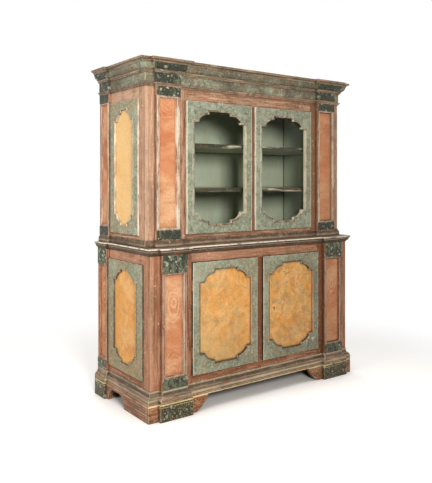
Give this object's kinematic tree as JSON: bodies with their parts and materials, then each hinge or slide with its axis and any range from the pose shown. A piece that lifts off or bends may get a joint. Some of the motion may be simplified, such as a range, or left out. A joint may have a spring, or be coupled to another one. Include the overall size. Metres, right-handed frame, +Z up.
{
  "type": "display cabinet",
  "caption": "Two-stage painted cabinet: panelled cupboard doors below, glazed doors with shaped lights above, pilasters, breakfront mouldings and bracket feet.",
  "frame": {"origin": "centre of the footprint on the floor, midway between the foremost edge of the waist top and the back", "axes": "+Z up, -Y towards the front, +X to the right seen from the front"},
  "size_m": [1.868, 0.734, 2.213],
  "materials": {
    "sage_marble_paint": "worn satin paint",
    "terracotta_marble_paint": "worn satin paint",
    "siena_panel_paint": "worn satin paint",
    "agate_pilaster_paint": "worn satin paint",
    "verde_marble_paint": "worn satin paint",
    "aged_moulding_paint": "aged matt paint",
    "interior_sage_paint": "matt paint",
    "bare_poplar": "bare aged wood",
    "old_iron": "forged, darkened",
    "lock_steel": "dull",
    "window_glass": "clear"
  },
  "bodies": {
    "cabinet": {"architrave": "aged_moulding_paint", "base_moulding": "aged_moulding_paint", "cornice": "aged_moulding_paint", "dust_board": "bare_poplar", "frieze": "sage_marble_paint", "lower_back": "bare_poplar", "lower_face_frame": "terracotta_marble_paint", "lower_floor": "bare_poplar", "lower_hinge_frame_leaves_left": "old_iron", "lower_hinge_frame_leaves_right": "old_iron", "lower_pilaster_front_left": "agate_pilaster_paint", "lower_pilaster_front_right": "agate_pilaster_paint", "lower_pilaster_rear_left": "agate_pilaster_paint", "lower_pilaster_rear_right": "agate_pilaster_paint", "lower_shelf": "bare_poplar", "lower_side_frame_left": "sage_marble_paint", "lower_side_frame_right": "sage_marble_paint", "lower_side_left": "terracotta_marble_paint", "lower_side_right": "terracotta_marble_paint", "plinth_back": "terracotta_marble_paint", "plinth_block_front_left": "verde_marble_paint", "plinth_block_front_right": "verde_marble_paint", "plinth_block_rear_left": "verde_marble_paint", "plinth_block_rear_right": "verde_marble_paint", "plinth_front": "terracotta_marble_paint", "plinth_left": "terracotta_marble_paint", "plinth_right": "terracotta_marble_paint", "upper_back": "bare_poplar", "upper_base_moulding": "aged_moulding_paint", "upper_ceiling": "interior_sage_paint", "upper_face_frame": "terracotta_marble_paint", "upper_floor": "interior_sage_paint", "upper_hinge_frame_leaves_left": "old_iron", "upper_hinge_frame_leaves_right": "old_iron", "upper_pilaster_front_left": "agate_pilaster_paint", "upper_pilaster_front_right": "agate_pilaster_paint", "upper_pilaster_rear_left": "agate_pilaster_paint", "upper_pilaster_rear_right": "agate_pilaster_paint", "upper_shelf_high": "interior_sage_paint", "upper_shelf_low": "interior_sage_paint", "upper_side_frame_left": "sage_marble_paint", "upper_side_frame_right": "sage_marble_paint", "upper_side_left": "terracotta_marble_paint", "upper_side_right": "terracotta_marble_paint", "waist_moulding": "aged_moulding_paint", "waist_top": "aged_moulding_paint"},
    "lower_door_left": {"lower_door_left": "sage_marble_paint", "lower_panel_left": "siena_panel_paint", "lower_hinge_door_leaves_left": "old_iron"},
    "lower_door_right": {"lower_door_right": "sage_marble_paint", "lower_panel_right": "siena_panel_paint", "lower_hinge_door_leaves_right": "old_iron", "lock_case": "lock_steel"},
    "upper_door_left": {"upper_door_left": "sage_marble_paint", "upper_pane_left": "window_glass", "upper_hinge_door_leaves_left": "old_iron"},
    "upper_door_right": {"upper_door_right": "sage_marble_paint", "upper_pane_right": "window_glass", "upper_hinge_door_leaves_right": "old_iron"},
    "lock_bolt": {"lock_bolt": "lock_steel"}
  },
  "joints": [
    {"name": "lower_door_left_hinge", "type": "hinge", "parent": "cabinet", "child": "lower_door_left", "pos_m": [-0.559, -0.3173, 0.584], "axis": [0, 0, -1], "range_deg": [0, 130]},
    {"name": "lower_door_right_hinge", "type": "hinge", "parent": "cabinet", "child": "lower_door_right", "pos_m": [0.559, -0.3173, 0.584], "axis": [0, 0, 1], "range_deg": [0, 130]},
    {"name": "upper_door_left_hinge", "type": "hinge", "parent": "cabinet", "child": "upper_door_left", "pos_m": [-0.559, -0.2433, 1.545], "axis": [0, 0, -1], "range_deg": [0, 130]},
    {"name": "upper_door_right_hinge", "type": "hinge", "parent": "cabinet", "child": "upper_door_right", "pos_m": [0.559, -0.2433, 1.545], "axis": [0, 0, 1], "range_deg": [0, 130]},
    {"name": "lock_bolt_slide", "type": "slide", "parent": "lower_door_right", "child": "lock_bolt", "axis": [-1, 0, 0], "range_m": [0, 0.012]}
  ]
}
